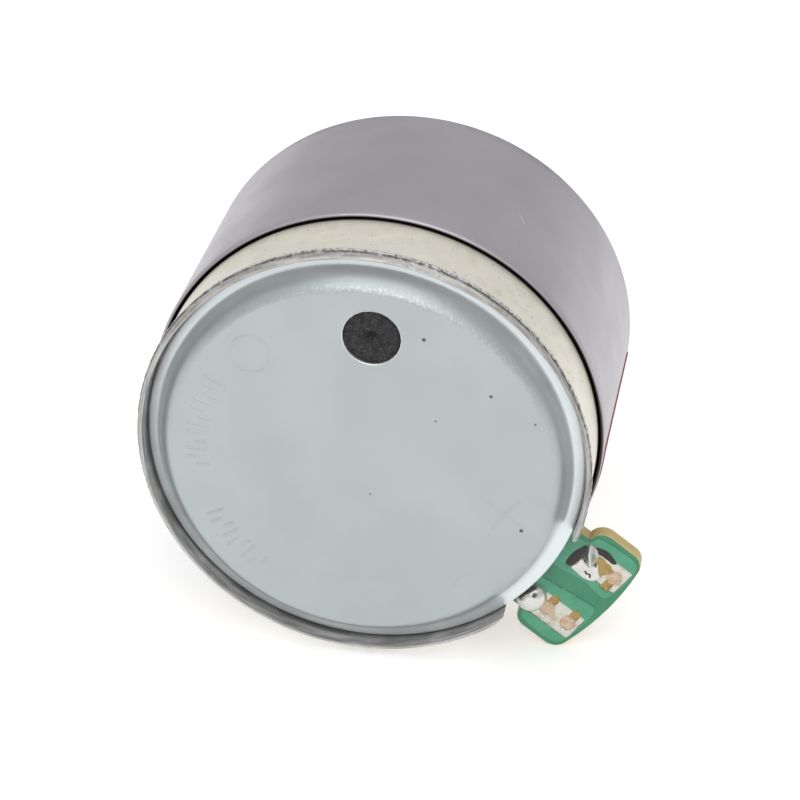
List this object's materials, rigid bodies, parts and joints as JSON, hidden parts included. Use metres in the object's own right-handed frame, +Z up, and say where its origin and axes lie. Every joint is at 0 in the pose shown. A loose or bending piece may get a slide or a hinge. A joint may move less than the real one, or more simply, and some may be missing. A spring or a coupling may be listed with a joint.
{
  "type": "governed brushed dc motor",
  "caption": "Round sheet-steel brushed motor with a shield sleeve, a dished rear cover with a plugged speed adjusting hole, and a circuit board tab with solder terminals.",
  "frame": {"origin": "centre of the front mounting face of the can, on the motor axis", "axes": "+Y along the motor axis, out of the mounting face towards the shaft end, so that the rear cover faces -Y; +Z up with the motor lying on its side; +X to the right seen from the rear cover"},
  "size_m": [0.04, 0.0362, 0.0364],
  "materials": {
    "galvanised_steel": "mottled galvanised, dull",
    "sleeve_steel": "smooth satin",
    "cover_steel": "matte zinc plate",
    "label_paper": "coated paper",
    "plug_rubber": "matte, finely speckled",
    "sintered_bronze": "matte, oiled",
    "bracket_phenolic": "moulded",
    "ferrite": "ground ceramic",
    "spring_bronze": "rolled strip",
    "brush_carbon": "pressed carbon",
    "board_laminate": "phenolic paper laminate",
    "solder_mask": "glossy green lacquer",
    "tinned_copper": "dull tin",
    "solder": "bright, slightly grainy",
    "trimmer_ceramic": "ceramic",
    "trimmer_plastic": "moulded",
    "moulding_epoxy": "moulded epoxy",
    "capacitor_resin": "moulded resin",
    "chip_resistor": "glazed",
    "chip_ceramic": "fired ceramic",
    "shaft_steel": "ground and polished",
    "lamination_steel": "stacked sheet",
    "insulator_fibre": "fibre board",
    "enamelled_wire": "glossy enamelled wire",
    "hub_plastic": "moulded",
    "commutator_copper": "turned copper",
    "varistor_ceramic": "fired ceramic",
    "washer_nylon": "nylon"
  },
  "bodies": {
    "stator": {"motor_can": "galvanised_steel", "shield_sleeve": "sleeve_steel", "rating_label": "label_paper", "rear_cover": "cover_steel", "front_bearing": "sintered_bronze", "rear_bearing": "sintered_bronze", "end_bracket": "bracket_phenolic", "ring_magnet": "ferrite", "brush_arm_positive": "spring_bronze", "brush_arm_negative": "spring_bronze", "brush_tip_positive": "brush_carbon", "brush_tip_negative": "brush_carbon", "governor_board": "board_laminate", "solder_mask": "solder_mask", "tinned_pads": "tinned_copper", "solder_joint_positive": "solder", "solder_joint_negative": "solder", "trimmer_base": "trimmer_ceramic", "governor_ic": "moulding_epoxy", "ic_leads": "tinned_copper", "tantalum_capacitor": "capacitor_resin", "chip_resistors": "chip_resistor", "chip_capacitors": "chip_ceramic"},
    "rotor": {"shaft": "shaft_steel", "armature_core": "lamination_steel", "core_insulator_front": "insulator_fibre", "core_insulator_rear": "insulator_fibre", "coil_a": "enamelled_wire", "coil_b": "enamelled_wire", "coil_c": "enamelled_wire", "commutator_hub": "hub_plastic", "commutator_segments": "commutator_copper", "varistor_ring": "varistor_ceramic", "thrust_washer_front": "washer_nylon", "thrust_washer_rear": "washer_nylon"},
    "trimmer_wiper": {"trimmer_wiper": "trimmer_plastic"},
    "adjust_plug": {"adjust_plug": "plug_rubber"}
  },
  "joints": [
    {"name": "rotor_spin", "type": "hinge", "parent": "stator", "child": "rotor", "pos_m": [0, 0, 0], "axis": [0, 1, 0], "continuous": true},
    {"name": "trimmer_turn", "type": "hinge", "parent": "stator", "child": "trimmer_wiper", "pos_m": [0.00102, -0.022, 0.01117], "axis": [0, 1, 0], "range_deg": [-120, 120]},
    {"name": "plug_pull", "type": "slide", "parent": "stator", "child": "adjust_plug", "axis": [0, -1, 0], "range_m": [0, 0.005]}
  ]
}
